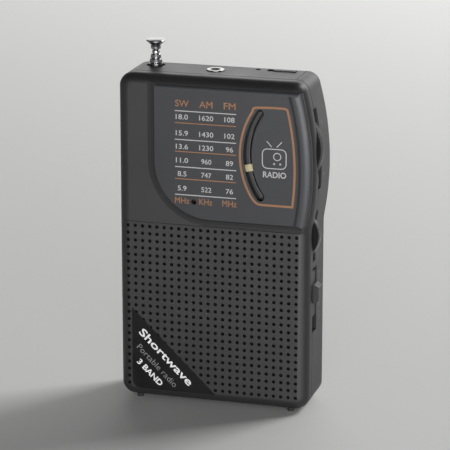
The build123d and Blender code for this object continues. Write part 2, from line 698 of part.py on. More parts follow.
def speaker_cone():
    outside = [(15.3, 2.45), (14.6, 2.0), (13.6, 2.4), (4.6, 5.6), (0, 4.2)]
    inside = [(0, 4.5), (4.5, 6.0), (13.6, 2.75), (14.6, 2.35), (15.3, 2.5)]
    profile = outside + inside
    cone = revolve(Plane.XY * make_face(Polyline(profile, close=True)), Axis.Y)
    return Pos(SPK_X, 0, SPK_Z) * cone


def speaker_gasket():
    return rod_y(SPK_X, SPK_Z, SPK_R - 0.1, GRILLE_THICK + 0.22, 1.9) - rod_y(SPK_X, SPK_Z, SPK_R - 2.5, 0, 3)


# ---- battery bay ----------------------------------------------------------
def cell(x_minus, x_plus, z):
    """One AA cell; the raised contact is at the plus end."""
    way = 1 if x_plus > x_minus else -1
    low, high = sorted((x_minus, x_plus - way * 1.0))
    body = fillet(rod_x(CELL_Y, z, CELL_R, low, high).edges(), 0.5)
    nub_low, nub_high = sorted((x_plus - way * 1.1, x_plus))
    return body + rod_x(CELL_Y, z, 2.7, nub_low, nub_high)


def lower_cell():
    return cell(-25.6, -25.6 + CELL_LENGTH, CELL_Z[0])


def upper_cell():
    return cell(20.6, 20.6 - CELL_LENGTH + 0.4, CELL_Z[1])


def contact_spring(x_plate, x_cell, z):
    length = abs(x_cell - x_plate)
    coil = Helix(pitch=length / 4.5, height=length * 0.84, radius=3.2)
    wire = sweep(Plane(origin=coil @ 0, z_dir=coil % 0) * Circle(0.3), path=coil)
    turn = 90 if x_cell > x_plate else -90
    return Pos(x_plate, CELL_Y, z) * Rot(0, turn, 0) * Pos(0, 0, 0.3) * wire


def contact_springs():
    return group([
        contact_spring(BAY_X0 + 0.4, -25.6, CELL_Z[0]),
        contact_spring(BAY_X1 - 0.4, 20.6, CELL_Z[1])])


def link_plate():
    plate = box(BAY_X0, BAY_X0 + 0.4, 8.5, 19.8, 4.5, 29.0)
    return plate + rod_x(CELL_Y, CELL_Z[1], 2.4, BAY_X0 + 0.3, -29.25)


def end_plates():
    low = box(BAY_X1 - 0.4, BAY_X1, 8.5, 19.8, 3.6, 15.4)
    low += rod_x(CELL_Y, CELL_Z[0], 2.4, 24.65, BAY_X1 - 0.3)
    high = box(BAY_X1 - 0.4, BAY_X1, 8.5, 19.8, 18.0, 30.4)
    return group([low, high])


# ---- antenna --------------------------------------------------------------
def tube(outer, inner, z0, z1):
    return rod_z(ANT_X, ANT_Y, outer, z0, z1) - rod_z(ANT_X, ANT_Y, inner, z0 - 1, z1 + 1)


def antenna_bushing():
    sleeve = rod_z(ANT_X, ANT_Y, 2.7, HEIGHT - 2.6, HEIGHT - 0.7)
    sleeve += rod_z(ANT_X, ANT_Y, 3.1, HEIGHT - 0.8, HEIGHT - 0.5)
    return sleeve - rod_z(ANT_X, ANT_Y, 2.42, HEIGHT - 4, HEIGHT + 2)


def antenna_base():
    base = tube(2.4, 2.03, 52.0, HEIGHT + 0.7)
    return base + rod_z(ANT_X, ANT_Y, 2.4, 50.5, 52.1)


def antenna_section(outer, inner, low, high, z0, z_bead, z1):
    """A sliding tube with a bead at its top that narrows from low to high."""
    pipe = tube(outer, inner, z0, z1)
    bead = Pos(ANT_X, ANT_Y, z_bead) * Cone(low, high, z1 - z_bead, align=ON_END)
    bead = fillet(bead.edges().sort_by(Axis.Z)[-1:], 0.38)
    bead = fillet(bead.edges().sort_by(Axis.Z)[:1], 0.25)
    return pipe + (bead - rod_z(ANT_X, ANT_Y, inner, 0, 200))


def antenna_tip():
    return rod_z(ANT_X, ANT_Y, 0.73, 62.0, 127.5)


def antenna_knob():
    """Mushroom end: a collar, a flare and a low dome."""
    z = [125.25, 125.65, 126.35, 126.75, 128.1, 128.3, 128.52, 128.74, 128.92, 129.05]
    r = [1.4, 1.85, 1.9, 1.72, 3.25, 3.42, 3.42, 3.2, 2.4, 1.2]
    points = [(0.75, 127.5), (0.75, z[0])] + list(zip(r, z)) + [(0, 129.1), (0, 127.5)]
    return Pos(ANT_X, ANT_Y, 0) * revolve(Plane.XZ * make_face(Polyline(points, close=True)), Axis.Z)


def antenna_bracket():
    """A strap round the foot of the antenna, screwed to the circuit board."""
    strap = rod_z(ANT_X, ANT_Y, 3.0, 60.8, 66.8) - rod_z(ANT_X, ANT_Y, 2.41, 50, 80)
    strap -= box(ANT_X - 5, ANT_X + 5, ANT_Y - 5, ANT_Y - 1.6, 50, 80)
    strap += box(ANT_X + 2.45, ANT_X + 3.0, BOARD_Y1 + 0.6, ANT_Y, 60.8, 66.8)
    strap += box(ANT_X + 2.45, -16.2, BOARD_Y1, BOARD_Y1 + 0.6, 60.8, 66.8)
    return strap - rod_y(ANT_SCREW[0], ANT_SCREW[1], 1.1, 10, 15)


def antenna_screw():
    x, z = ANT_SCREW
    top = BOARD_Y1 + 0.6
    screw = rod_y(x, z, 1.8, top, top + 1.2) + rod_y(x, z, 0.9, BOARD_Y0 - 0.6, top)
    return screw - box(x - 2, x + 2, top + 0.7, top + 2, z - 0.2, z + 0.2)


# ---- wires ----------------------------------------------------------------
def wire(points, radius=0.45):
    path = Spline(points)
    return sweep(Plane(origin=path @ 0, z_dir=path % 0) * Circle(radius), path=path)


def speaker_wires():
    ends = []
    for dx in (0.0, 1.6):
        ends.append(wire([(3.6 + dx, 8.6, 50 + dx), (6.0 + dx, 9.6, 53), (8.4 + dx, 10.0, 58), (9 + dx, 10.3, 64)]))
    return group(ends)


def battery_wires():
    """One wire from each end plate, out through the top of the battery bay."""
    low = [(25.5, 8.0, 15.9), (25.4, 7.5, 18.5), (25.2, 7.3, 26), (25.2, 7.4, 34.2)]
    low += [(24.6, 7.8, 38.5), (22.0, 10.3, 44.5)]
    high = [(25.5, 8.8, 30.9), (24.2, 7.9, 31.9), (22.6, 7.4, 34.2), (21.6, 7.8, 38.5), (19.4, 10.3, 44.5)]
    return group([wire(low), wire(high)])


def antenna_wire():
    return wire([(-23.1, 13.6, 69.4), (-22.6, 13.2, 74), (-20.2, 13.4, 79), (-18.8, 12.47, 81.8)], 0.4)


PARTS = {
    "front_cabinet": front_cabinet,
    "speaker_grille": speaker_grille,
    "dust_screen": dust_screen,
    "dial_panel": dial_panel,
    "rear_cabinet": rear_cabinet,
    "battery_door": battery_door,
    "corner_label": corner_label,
    "feet": feet,
    "case_screws": case_screws,
    "tuning_wheel": tuning_wheel,
    "tuning_shaft": tuning_shaft,
    "tuning_wheel_screw": lambda: wheel_screw(TUNE_X, TUNE_Z, 1.8, GEAR_Y0 + 0.2, GEAR_Y0 + 1.3, 11.5),
    "tuning_capacitor": tuning_capacitor,
    "pointer_arm": pointer_arm,
    "pointer_gear": pointer_gear,
    "volume_wheel": volume_wheel,
    "volume_shaft": volume_shaft,
    "volume_wheel_screw": lambda: wheel_screw(VOL_X, VOL_Z, 1.7, VOL_Y0 - 0.9, VOL_Y0, 12.0),
    "volume_potentiometer": volume_potentiometer,
    "band_slider": band_slider,
    "band_switch_body": band_switch_body,
    "power_slider": power_slider,
    "power_switch_body": power_switch_body,
    "headphone_jack": headphone_jack,
    "jack_ring": jack_ring,
    "power_lamp": power_lamp,
    "tuning_lamp": tuning_lamp,
    "circuit_board": circuit_board,
    "board_screws": board_screws,
    "ferrite_rod": ferrite_rod,
    "ferrite_coil": ferrite_coil,
    "ferrite_holders": ferrite_holders,
    "if_transformers": if_transformers,
    "capacitors": capacitors,
    "radio_chip": radio_chip,
    "speaker_frame": speaker_frame,
    "speaker_magnet": speaker_magnet,
    "speaker_cone": speaker_cone,
    "speaker_gasket": speaker_gasket,
    "lower_cell": lower_cell,
    "upper_cell": upper_cell,
    "contact_springs": contact_springs,
    "link_plate": link_plate,
    "end_plates": end_plates,
    "antenna_bushing": antenna_bushing,
    "antenna_base": antenna_base,
    "antenna_section_1": lambda: antenna_section(1.95, 1.60, 2.45, 2.1, 56.0, 120.4, 121.9),
    "antenna_section_2": lambda: antenna_section(1.52, 1.20, 2.03, 1.7, 58.0, 122.1, 123.6),
    "antenna_section_3": lambda: antenna_section(1.12, 0.81, 1.4, 1.3, 60.0, 123.8, 125.0),
    "antenna_tip": antenna_tip,
    "antenna_knob": antenna_knob,
    "antenna_bracket": antenna_bracket,
    "antenna_screw": antenna_screw,
    "speaker_wires": speaker_wires,
    "battery_wires": battery_wires,
    "antenna_wire": antenna_wire,
}


def main():
    os.makedirs("parts", exist_ok=True)
    reach_x = (TUNE_X + TUNE_R - WIDTH / 2) / 2
    reach_y = (DEPTH + PANEL_FRONT) / 2
    to_origin = Pos(-reach_x, -reach_y, FOOT)
    for name, make in PARTS.items():
        export_step(to_origin * make(), f"parts/{name}.step")


main()
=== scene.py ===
"""Looks, print, light and camera for the pocket shortwave receiver.

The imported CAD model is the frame. Every position below is given in case
millimetres: x from the middle of the case, y from the plain front face towards
the back, z up from the bottom of the case. at() turns them into metres of the
shared frame.
"""
from math import atan2, cos, hypot, pi, radians, sin, sqrt

import bmesh
import bpy
from mathutils import Matrix, Vector


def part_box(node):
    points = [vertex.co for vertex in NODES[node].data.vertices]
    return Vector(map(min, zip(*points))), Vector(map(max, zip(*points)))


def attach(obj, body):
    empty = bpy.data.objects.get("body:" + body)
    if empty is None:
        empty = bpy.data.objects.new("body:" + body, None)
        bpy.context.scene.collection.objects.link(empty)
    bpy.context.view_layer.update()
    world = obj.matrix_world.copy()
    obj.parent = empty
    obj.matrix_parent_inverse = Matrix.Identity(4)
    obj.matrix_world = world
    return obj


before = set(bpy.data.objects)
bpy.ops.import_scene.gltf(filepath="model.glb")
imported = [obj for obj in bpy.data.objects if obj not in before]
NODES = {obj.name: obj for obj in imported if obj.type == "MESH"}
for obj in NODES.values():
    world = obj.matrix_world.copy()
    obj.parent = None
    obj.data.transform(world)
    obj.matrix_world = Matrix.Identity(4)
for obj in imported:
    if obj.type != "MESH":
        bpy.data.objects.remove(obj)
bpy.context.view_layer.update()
SCENE = bpy.context.scene
MM = 0.001

# ---- where the case is ----------------------------------------------------
REAR_LOW, REAR_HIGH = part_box("rear_cabinet")
CASE_LEFT = -35.0
CASE_DEPTH = 23.0
CASE_TOP = 119.5
ORIGIN = Vector((REAR_LOW.x - CASE_LEFT * MM, REAR_HIGH.y - CASE_DEPTH * MM, REAR_LOW.z))
PANEL_Y = -1.0
LABEL_Y = -0.14
BULGE_X = -70.15
BULGE_Z = 87.48
BULGE_R = 107.16
INK = 0.012          # how far printed ink stands above its surface
INK_ROOT = 0.02      # how far its underside sits below it
SIDE_STRAIGHT = 62   # below this height the right side is flat, above it bulges
CASE_RIGHT = 35.0


def at(x, y, z):
    """Case millimetres to metres of the shared frame."""
    return ORIGIN + Vector((x, y, z)) * MM


# ---- material tools -------------------------------------------------------
# A Mix node repeats its socket names, so its colour sockets go by number.
MIX_COLOUR_A = 6
MIX_COLOUR_B = 7
MIX_COLOUR_OUT = 2


class Surface:
    """A Principled material with short ways to add nodes."""

    def __init__(self, name, colour, rough, metal=0.0, specular=0.5):
        self.material = bpy.data.materials.new(name)
        self.material.use_nodes = True
        self.tree = self.material.node_tree
        self.shader = self.tree.nodes["Principled BSDF"]
        self.colour = colour
        self.rough = rough
        self.shader.inputs["Base Color"].default_value = (*colour, 1)
        self.shader.inputs["Roughness"].default_value = rough
        self.shader.inputs["Metallic"].default_value = metal
        self.shader.inputs["Specular IOR Level"].default_value = specular
        self.place = self.node("ShaderNodeTexCoord").outputs["Object"]
        self.height = None

    def node(self, kind, **settings):
        made = self.tree.nodes.new(kind)
        for name, value in settings.items():
            setattr(made, name, value)
        return made

    def put(self, socket, value):
        if isinstance(value, bpy.types.NodeSocket):
            self.tree.links.new(value, socket)
        else:
            socket.default_value = value

    def noise(self, scale, detail=2.0, rough=0.5, stretch=None):
        made = self.node("ShaderNodeTexNoise")
        place = self.place
        if stretch:
            mapping = self.node("ShaderNodeMapping")
            self.put(mapping.inputs["Vector"], place)
            self.put(mapping.inputs["Scale"], stretch)
            place = mapping.outputs["Vector"]
        self.put(made.inputs["Vector"], place)
        self.put(made.inputs["Scale"], scale)
        self.put(made.inputs["Detail"], detail)
        self.put(made.inputs["Roughness"], rough)
        return made.outputs["Fac"]

    def ramp(self, value, low, high, to_low=0.0, to_high=1.0):
        made = self.node("ShaderNodeMapRange", clamp=True)
        for name, x in (("Value", value), ("From Min", low), ("From Max", high),
                        ("To Min", to_low), ("To Max", to_high)):
            self.put(made.inputs[name], x)
        return made.outputs["Result"]

    def maths(self, kind, a, b=0.0):
        made = self.node("ShaderNodeMath", operation=kind)
        self.put(made.inputs[0], a)
        self.put(made.inputs[1], b)
        return made.outputs[0]

    def mix(self, share, a, b):
        """Colour a where share is 0 and b where it is 1."""
        made = self.node("ShaderNodeMix", data_type="RGBA")
        self.put(made.inputs["Factor"], share)
        for number, colour in ((MIX_COLOUR_A, a), (MIX_COLOUR_B, b)):
            linked = isinstance(colour, bpy.types.NodeSocket)
            self.put(made.inputs[number], colour if linked else (*colour, 1))
        return made.outputs[MIX_COLOUR_OUT]

    def edges(self, radius):
        """A mask that is 1 on outside edges and 0 on the flats."""
        bevel = self.node("ShaderNodeBevel", samples=4)
        self.put(bevel.inputs["Radius"], radius * MM)
        geometry = self.node("ShaderNodeNewGeometry")
        dot = self.node("ShaderNodeVectorMath", operation="DOT_PRODUCT")
        self.put(dot.inputs[0], bevel.outputs["Normal"])
        self.put(dot.inputs[1], geometry.outputs["Normal"])
        return self.ramp(dot.outputs["Value"], 0.995, 0.86, 0.0, 1.0)

    def bump(self, height, depth, strength=1.0):
        """Adds relief, depth in millimetres, on top of any relief put on before."""
        made = self.node("ShaderNodeBump")
        self.put(made.inputs["Height"], height)
        self.put(made.inputs["Distance"], depth * MM)
        self.put(made.inputs["Strength"], strength)
        if self.height:
            self.put(made.inputs["Normal"], self.height)
        self.height = made.outputs["Normal"]
        self.put(self.shader.inputs["Normal"], self.height)

    def set_colour(self, value):
        self.put(self.shader.inputs["Base Color"], value)

    def set_rough(self, value):
        self.put(self.shader.inputs["Roughness"], value)


def shade(colour, factor):
    return tuple(min(1.0, c * factor) for c in colour)


# ---- materials ------------------------------------------------------------
def moulded(name, colour, rough, grain=5200, depth=0.006, mottle=0.10, wear_and_highlight=0.0, specular=0.5):
    """Moulded plastic: fine tool texture, soft colour drift, polished edges painted lighter, partly
    rubbed wear and partly a painted edge highlight.
    """
    s = Surface(name, colour, rough, specular=specular)
    cloud = s.noise(55, 4, 0.6)
    speck = s.noise(grain * 0.6, 3, 0.65)
    body = s.mix(s.ramp(cloud, 0.3, 0.7), shade(colour, 1 - mottle), shade(colour, 1 + mottle))
    body = s.mix(s.ramp(speck, 0.35, 0.75, 0.0, 0.35), body, shade(colour, 1.35))
    gloss = s.ramp(cloud, 0.3, 0.7, rough - 0.03, rough + 0.04)
    if wear_and_highlight:
        edge = s.edges(0.3)
        patch = s.ramp(s.noise(420, 3, 0.7), 0.35, 0.65)
        rubbed_and_highlit = s.maths("MULTIPLY", edge, s.maths("MULTIPLY", patch, wear_and_highlight))
        # Painted highlight: edges are painted lighter in patches, partly rubbed wear and partly a painted
        # edge highlight.
        body = s.mix(rubbed_and_highlit, body, shade(colour, 2.1))
        gloss = s.maths("SUBTRACT", gloss, s.maths("MULTIPLY", rubbed_and_highlit, 0.18))
    s.set_colour(body)
    s.set_rough(gloss)
    s.bump(s.noise(grain, 2, 0.5), depth)
    s.bump(s.noise(240, 2, 0.5), depth * 2.2, 0.5)
    return s.material


def wheel_plastic(name, node, band):
    """Knurled wheel: a dull black face and a rim, band wide, polished by thumbs. The rim is painted paler
    as a painted highlight where the knurls catch light. The face's near black is partly black plastic and
    partly painted shade from the slot.
    """
    # Rim colour, set well above the case plastic as a painted highlight where the knurls catch light.
    colour = (0.050, 0.050, 0.051)
    s = Surface(name, colour, 0.42, specular=0.45)
    low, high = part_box(node)
    middle = (low + high) / 2
    reach = (high.x - low.x) / 2
    split = s.node("ShaderNodeSeparateXYZ")
    s.put(split.inputs[0], s.place)
    across = s.maths("SUBTRACT", split.outputs["X"], middle.x)
    up = s.maths("SUBTRACT", split.outputs["Z"], middle.z)
    square = s.maths("ADD", s.maths("MULTIPLY", across, across), s.maths("MULTIPLY", up, up))
    edge = reach - band * MM
    face = s.ramp(s.maths("SQRT", square), edge - 0.1 * MM, edge, 1.0, 0.0)
    grime = s.ramp(s.noise(1500, 4, 0.7), 0.35, 0.7)
    rim = s.mix(grime, shade(colour, 0.7), shade(colour, 1.5))
    # The face is painted near black: partly the wheel's black plastic, partly painted shade from the slot
    # round it.
    s.set_colour(s.mix(face, rim, (0.002, 0.002, 0.002)))
    s.set_rough(s.ramp(face, 0.0, 1.0, 0.42, 0.95))
    s.bump(s.noise(4200, 2, 0.5), 0.006)
    return s.material


def plated(name, colour, rough, streak=0.0, tarnish=0.06):
    """Bright or brushed metal with faint haze and drawing lines along z."""
    s = Surface(name, colour, rough, metal=1.0)
    haze = s.noise(900, 4, 0.6)
    s.set_colour(s.mix(s.ramp(haze, 0.4, 0.75), colour, shade(colour, 1 - tarnish)))
    s.set_rough(s.ramp(haze, 0.3, 0.8, rough * 0.75, rough * 1.35))
    if streak:
        s.bump(s.noise(2600, 3, 0.6, stretch=(1, 1, 0.02)), streak)
    return s.material


def turned(name, colour, rough, depth):
    """Metal with fine turning marks round an upright axis."""
    s = Surface(name, colour, rough, metal=1.0)
    rings = s.noise(3000, 2, 0.5, stretch=(0.03, 0.03, 1))
    s.set_colour(s.mix(s.ramp(rings, 0.4, 0.7), colour, shade(colour, 0.9)))
    s.set_rough(s.ramp(rings, 0.3, 0.8, rough * 0.8, rough * 1.3))
    s.bump(rings, depth)
    return s.material


def ink(name, colour, rough=0.55):
    """Pad-printed ink: slightly uneven cover and a soft face."""
    s = Surface(name, colour, rough)
    cover = s.noise(2600, 3, 0.6)
    s.set_colour(s.mix(s.ramp(cover, 0.3, 0.7), shade(colour, 0.86), shade(colour, 1.06)))
    s.set_rough(s.ramp(cover, 0.3, 0.7, rough - 0.06, rough + 0.06))
    s.bump(s.noise(5200, 2, 0.5), 0.004)
    return s.material


def foil():
    """Black satin label film."""
    colour = (0.0035, 0.0035, 0.0038)
    s = Surface("label_foil_look", colour, 0.40, specular=0.22)
    ripple = s.noise(120, 3, 0.5)
    s.set_colour(s.mix(s.ramp(ripple, 0.3, 0.7), shade(colour, 0.85), shade(colour, 1.2)))
    s.set_rough(s.ramp(ripple, 0.3, 0.7, 0.37, 0.46))
    s.bump(ripple, 0.02, 0.6)
    s.bump(s.noise(6000, 2, 0.5), 0.002)
    return s.material


def rubber():
    colour = (0.013, 0.013, 0.013)
    s = Surface("rubber_look", colour, 0.75, specular=0.35)
    dust = s.noise(900, 4, 0.7)
    s.set_colour(s.mix(s.ramp(dust, 0.5, 0.8), colour, shade(colour, 2.4)))
    s.set_rough(s.ramp(dust, 0.3, 0.8, 0.68, 0.85))
    s.bump(s.noise(3200, 3, 0.6), 0.012)
    return s.material


def laminate():
    """Brown phenolic board with faint paper fibres."""
    # The board's own brown, darkened further as painted shade so the inside seen through the case's holes
    # and slots looks black.
    colour = (0.075, 0.042, 0.018)
    s = Surface("board_laminate_look", colour, 0.48)
    fibre = s.noise(700, 5, 0.7, stretch=(1, 1, 0.18))
    s.set_colour(s.mix(s.ramp(fibre, 0.35, 0.7), shade(colour, 0.72), shade(colour, 1.2)))
    s.set_rough(s.ramp(fibre, 0.3, 0.7, 0.42, 0.58))
    s.bump(fibre, 0.01)
    return s.material


def sleeve(name, colour, rough=0.38):
    """Soft vinyl sleeve on wires and capacitor cans."""
    s = Surface(name, colour, rough)
    smear = s.noise(500, 4, 0.6)
    s.set_colour(s.mix(s.ramp(smear, 0.3, 0.75), shade(colour, 0.8), shade(colour, 1.15)))
    s.set_rough(s.ramp(smear, 0.3, 0.75, rough - 0.05, rough + 0.1))
    s.bump(s.noise(1800, 2, 0.5), 0.006)
    return s.material


def sintered(name, colour):
    s = Surface(name, colour, 0.62)
    pits = s.noise(2400, 5, 0.75)
    s.set_colour(s.mix(s.ramp(pits, 0.35, 0.7), shade(colour, 0.6), shade(colour, 1.5)))
    s.set_rough(s.ramp(pits, 0.3, 0.7, 0.5, 0.75))
    s.bump(pits, 0.02)
    return s.material


def winding():
    """Fine enamelled wire wound side by side along x."""
    colour = (0.42, 0.16, 0.06)
    s = Surface("copper_look", colour, 0.3, metal=0.7)
    wave = s.node("ShaderNodeTexWave", bands_direction="X")
    s.put(wave.inputs["Vector"], s.place)
    s.put(wave.inputs["Scale"], 1100)
    s.put(wave.inputs["Distortion"], 0.4)
    line = wave.outputs["Fac"]
    # Each turn is painted dark at its edges and light along its middle: painted shade between the turns
    # and a painted highlight on their crests.
    s.set_colour(s.mix(line, shade(colour, 0.35), shade(colour, 1.2)))
    s.set_rough(s.ramp(line, 0, 1, 0.45, 0.25))
    s.bump(line, 0.05)
    return s.material


def felt():
    colour = (0.035, 0.035, 0.036)
    s = Surface("foam_look", colour, 0.95, specular=0.2)
    s.shader.inputs["Sheen Weight"].default_value = 0.3
    s.shader.inputs["Sheen Roughness"].default_value = 0.5
    hair = s.noise(2600, 6, 0.8)
    s.set_colour(s.mix(s.ramp(hair, 0.3, 0.7), shade(colour, 0.5), shade(colour, 1.7)))
    s.set_rough(s.ramp(hair, 0.3, 0.7, 0.88, 1.0))
    s.bump(hair, 0.08)
    return s.material


def cone_paper():
    colour = (0.028, 0.027, 0.026)
    s = Surface("cone_paper_look", colour, 0.85, specular=0.3)
    pulp = s.noise(1300, 5, 0.75)
    s.set_colour(s.mix(s.ramp(pulp, 0.3, 0.7), shade(colour, 0.6), shade(colour, 1.6)))
    s.set_rough(s.ramp(pulp, 0.3, 0.7, 0.75, 0.95))
    s.bump(pulp, 0.04)
    return s.material


def screen_paper():
    """Dead black paper behind the grille."""
    colour = (0.004, 0.004, 0.004)
    s = Surface("screen_paper_look", colour, 0.9, specular=0.12)
    pulp = s.noise(1500, 4, 0.7)
    s.set_colour(s.mix(s.ramp(pulp, 0.3, 0.7), shade(colour, 0.7), shade(colour, 1.4)))
    s.set_rough(s.ramp(pulp, 0.3, 0.7, 0.85, 0.98))
    s.bump(pulp, 0.02)
    return s.material


def cell_jacket():
    """Printed cell sleeve: green body with a copper band near the plus end."""
    colour = (0.02, 0.09, 0.045)
    s = Surface("cell_jacket_look", colour, 0.25, metal=0.35)
    split = s.node("ShaderNodeSeparateXYZ")
    s.put(split.inputs[0], s.place)
    band = s.ramp(s.maths("ABSOLUTE", split.outputs["X"]), 0.0125, 0.0127)
    scuff = s.noise(420, 4, 0.65, stretch=(0.25, 1, 1))
    body = s.mix(s.ramp(scuff, 0.4, 0.75), colour, shade(colour, 1.5))
    s.set_colour(s.mix(band, body, (0.35, 0.17, 0.05)))
    s.set_rough(s.ramp(scuff, 0.3, 0.75, 0.18, 0.36))
    s.bump(scuff, 0.004)
    return s.material


def lens(name, colour):
    """Small tinted lamp moulding, unlit."""
    s = Surface(name, colour, 0.22)
    cloud = s.noise(900, 3, 0.5)
    s.set_colour(s.mix(s.ramp(cloud, 0.3, 0.7), shade(colour, 0.7), shade(colour, 1.2)))
    s.set_rough(s.ramp(cloud, 0.3, 0.7, 0.16, 0.3))
    s.bump(cloud, 0.01)
    return s.material


CASE = moulded("case_plastic_look", (0.0120, 0.0120, 0.0122), 0.46, wear_and_highlight=0.25)
PANEL = moulded("panel_plastic_look", (0.0150, 0.0160, 0.0190), 0.44, grain=6500, depth=0.004, wear_and_highlight=0.15)
KNOB = moulded("knob_plastic_look", (0.010, 0.010, 0.0102), 0.42, wear_and_highlight=0.5)
COMPONENT = moulded("component_plastic_look", (0.022, 0.022, 0.023), 0.38, grain=3000)
POINTER = moulded("pointer_plastic_look", (0.34, 0.29, 0.165), 0.35, grain=2500, depth=0.003, mottle=0.05)
GEAR = moulded("gear_plastic_look", (0.70, 0.69, 0.63), 0.45, grain=2500, mottle=0.04)
FILM = moulded("capacitor_film_look", (0.60, 0.58, 0.50), 0.30, grain=2500, mottle=0.05)
CHROME = turned("chrome_look", (0.30, 0.30, 0.31), 0.24, 0.0002)
RING = turned("jack_metal_look", (0.34, 0.34, 0.33), 0.32, 0.0006)
SCREW = plated("screw_steel_look", (0.42, 0.42, 0.43), 0.32, streak=0.002)
STEEL = plated("steel_look", (0.50, 0.50, 0.51), 0.34, streak=0.003)
CAN = plated("can_metal_look", (0.60, 0.60, 0.61), 0.28, streak=0.003)
SPRING = plated("spring_steel_look", (0.66, 0.65, 0.62), 0.20)
WHITE_INK = ink("white_ink", (0.35, 0.35, 0.35))
GREY_INK = ink("grey_ink", (0.20, 0.20, 0.20))
LABEL_INK = ink("label_ink", (0.66, 0.66, 0.66))
FAINT_INK = ink("faint_ink", (0.17, 0.17, 0.17))
ORANGE_INK = ink("orange_ink", (0.225, 0.102, 0.043))

LOOKS = {
    "front_cabinet": CASE,
    "speaker_grille": CASE,
    "rear_cabinet": CASE,
    "battery_door": CASE,
    "dial_panel": PANEL,
    "corner_label": foil(),
    "feet": rubber(),
    "case_screws": SCREW,
    "board_screws": SCREW,
    "tuning_wheel_screw": SCREW,
    "volume_wheel_screw": SCREW,
    "antenna_screw": SCREW,
    "tuning_wheel": wheel_plastic("tuning_wheel_look", "tuning_wheel", 0.7),
    "volume_wheel": wheel_plastic("volume_wheel_look", "volume_wheel", 0.35),
    "tuning_shaft": GEAR,
    "volume_shaft": GEAR,
    "pointer_gear": GEAR,
    "ferrite_holders": GEAR,
    "pointer_arm": POINTER,
    "tuning_capacitor": FILM,
    "band_slider": KNOB,
    "power_slider": KNOB,
    "volume_potentiometer": COMPONENT,
    "band_switch_body": COMPONENT,
    "power_switch_body": COMPONENT,
    "headphone_jack": COMPONENT,
    "radio_chip": COMPONENT,
    "antenna_bushing": COMPONENT,
    "jack_ring": RING,
    "antenna_base": CHROME,
    "antenna_section_1": CHROME,
    "antenna_section_2": CHROME,
    "antenna_section_3": CHROME,
    "antenna_tip": CHROME,
    "antenna_knob": CHROME,
    "antenna_bracket": STEEL,
    "speaker_frame": STEEL,
    "speaker_magnet": sintered("magnet_look", (0.06, 0.06, 0.06)),
    "speaker_cone": cone_paper(),
    "speaker_gasket": felt(),
    "dust_screen": screen_paper(),
    "if_transformers": CAN,
    "capacitors": sleeve("capacitor_can_look", (0.02, 0.03, 0.10)),
    "circuit_board": laminate(),
    "ferrite_rod": sintered("ferrite_look", (0.035, 0.033, 0.034)),
    "ferrite_coil": winding(),
    "lower_cell": cell_jacket(),
    "contact_springs": SPRING,
    "link_plate": SPRING,
    "end_plates": SPRING,
    # The red is the lens's own tint, darkened as painted shade so the lamp holes look black.
    "power_lamp": lens("lamp_red_look", (0.05, 0.004, 0.003)),
    "speaker_wires": sleeve("wire_black_look", (0.015, 0.015, 0.015)),
    "antenna_wire": sleeve("wire_black_look_2", (0.015, 0.015, 0.015)),
    "battery_wires": sleeve("wire_red_look", (0.38, 0.02, 0.02)),
}
LOOKS["upper_cell"] = LOOKS["lower_cell"]
LOOKS["tuning_lamp"] = LOOKS["power_lamp"]

for name, node in NODES.items():
    node.data.materials.clear()
    node.data.materials.append(LOOKS[name])


# ---- building pieces ------------------------------------------------------
WELD = 1e-5          # points nearer than this are one point
MITRE_LIMIT = 0.77   # keeps the sharp corners of letters from growing spikes
RIBBON_MITRE = 0.4   # the same for the corners of printed lines


def add_piece(name, mesh, material, body):
    piece = bpy.data.objects.new(name, mesh)
    SCENE.collection.objects.link(piece)
    mesh.materials.clear()
    mesh.materials.append(material)
    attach(piece, body)
    return piece


def embolden(mesh, amount):
    """Moves the outline of a flat mesh outwards by the same amount all round."""
    bm = bmesh.new()
    bm.from_mesh(mesh)
    bmesh.ops.remove_doubles(bm, verts=bm.verts, dist=WELD)
    moves = {}
    for vert in bm.verts:
        outward = []
        for edge in vert.link_edges:
            if len(edge.link_faces) != 1:
                continue
            way = (edge.verts[1].co - edge.verts[0].co).normalized()
            normal = Vector((way.y, -way.x, 0))
            if normal.dot(edge.link_faces[0].calc_center_median() - edge.verts[0].co) > 0:
                normal.negate()
            outward.append(normal)
        if outward:
            middle = sum(outward, Vector()).normalized()
            moves[vert] = middle * amount / max(MITRE_LIMIT, middle.dot(outward[0]))
    for vert, move in moves.items():
        vert.co += move
    bm.to_mesh(mesh)
    bm.free()


def text_mesh(word, bold):
    """Outline of a word in the built-in font, one unit tall, as a flat mesh."""
    curve = bpy.data.curves.new("word", "FONT")
    curve.body = word
    curve.size = 1.0
    curve.resolution_u = 3
    holder = bpy.data.objects.new("word", curve)
    SCENE.collection.objects.link(holder)
    bpy.context.view_layer.update()
    graph = bpy.context.evaluated_depsgraph_get()
    mesh = bpy.data.meshes.new_from_object(holder.evaluated_get(graph))
    bpy.data.objects.remove(holder)
    bpy.data.curves.remove(curve)
    embolden(mesh, bold)
    return mesh


